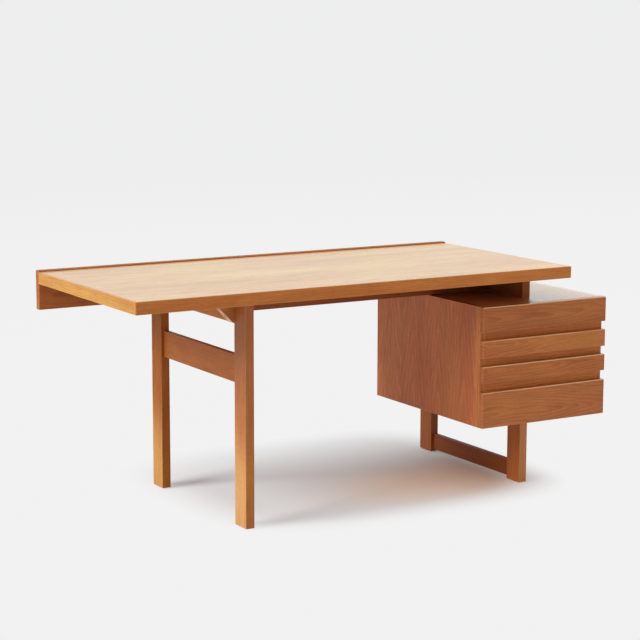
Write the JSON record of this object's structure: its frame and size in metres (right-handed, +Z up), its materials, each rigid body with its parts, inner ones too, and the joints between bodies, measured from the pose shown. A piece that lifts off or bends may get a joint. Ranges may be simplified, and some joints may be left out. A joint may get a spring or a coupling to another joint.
{
  "type": "writing desk",
  "caption": "Wooden writing desk with a raised backboard, open leg frames and a hung case of sliding drawers that passes the end of the top.",
  "frame": {"origin": "on the floor, at the middle of the desk's overall box", "axes": "+X along the front towards the drawer case, +Y towards the backboard, +Z up"},
  "size_m": [1.675, 0.727, 0.7245],
  "materials": {
    "top_veneer": "pale straight-grained veneer, satin lacquer",
    "edging_wood": "solid wood, satin oil",
    "frame_wood": "solid wood, satin oil",
    "case_veneer": "cathedral-grained veneer, satin lacquer",
    "front_veneer": "veneer with level grain, satin lacquer",
    "box_wood": "bare planed wood",
    "drawer_plywood": "thin plywood, sanded",
    "screw_steel": "zinc-plated",
    "glide_plastic": "dark moulded nylon"
  },
  "bodies": {
    "frame": {"desktop_panel": "top_veneer", "front_edging": "edging_wood", "left_edging": "edging_wood", "right_edging": "edging_wood", "backboard": "edging_wood", "backboard_dowels": "box_wood", "desktop_screws": "screw_steel", "bracket_screws": "screw_steel", "left_front_leg": "frame_wood", "left_back_leg": "frame_wood", "left_top_rail": "frame_wood", "left_mid_rail": "frame_wood", "left_front_bracket": "frame_wood", "left_back_bracket": "frame_wood", "right_front_leg": "frame_wood", "right_upper_post": "frame_wood", "right_back_leg": "frame_wood", "right_top_rail": "frame_wood", "right_low_stretcher": "frame_wood", "long_rail": "frame_wood", "foot_glides": "glide_plastic", "case_left_side": "case_veneer", "case_right_side": "case_veneer", "case_left_lipping": "edging_wood", "case_right_lipping": "edging_wood", "case_top": "case_veneer", "case_bottom": "case_veneer", "case_back": "case_veneer", "case_screws": "screw_steel", "recess_rail_1": "frame_wood", "recess_rail_2": "frame_wood", "recess_rail_3": "frame_wood", "runner_left_1": "box_wood", "runner_right_1": "box_wood", "runner_left_2": "box_wood", "runner_right_2": "box_wood", "runner_left_3": "box_wood", "runner_right_3": "box_wood", "runner_left_4": "box_wood", "runner_right_4": "box_wood"},
    "drawer_1": {"drawer_1_front": "front_veneer", "drawer_1_left_side": "box_wood", "drawer_1_right_side": "box_wood", "drawer_1_back": "box_wood", "drawer_1_bottom": "drawer_plywood"},
    "drawer_2": {"drawer_2_front": "front_veneer", "drawer_2_left_side": "box_wood", "drawer_2_right_side": "box_wood", "drawer_2_back": "box_wood", "drawer_2_bottom": "drawer_plywood"},
    "drawer_3": {"drawer_3_front": "front_veneer", "drawer_3_left_side": "box_wood", "drawer_3_right_side": "box_wood", "drawer_3_back": "box_wood", "drawer_3_bottom": "drawer_plywood"},
    "drawer_4": {"drawer_4_front": "front_veneer", "drawer_4_left_side": "box_wood", "drawer_4_right_side": "box_wood", "drawer_4_back": "box_wood", "drawer_4_bottom": "drawer_plywood"}
  },
  "joints": [
    {"name": "drawer_1_slide", "type": "slide", "parent": "frame", "child": "drawer_1", "axis": [0, -1, 0], "range_m": [0, 0.38]},
    {"name": "drawer_2_slide", "type": "slide", "parent": "frame", "child": "drawer_2", "axis": [0, -1, 0], "range_m": [0, 0.38]},
    {"name": "drawer_3_slide", "type": "slide", "parent": "frame", "child": "drawer_3", "axis": [0, -1, 0], "range_m": [0, 0.38]},
    {"name": "drawer_4_slide", "type": "slide", "parent": "frame", "child": "drawer_4", "axis": [0, -1, 0], "range_m": [0, 0.38]}
  ]
}
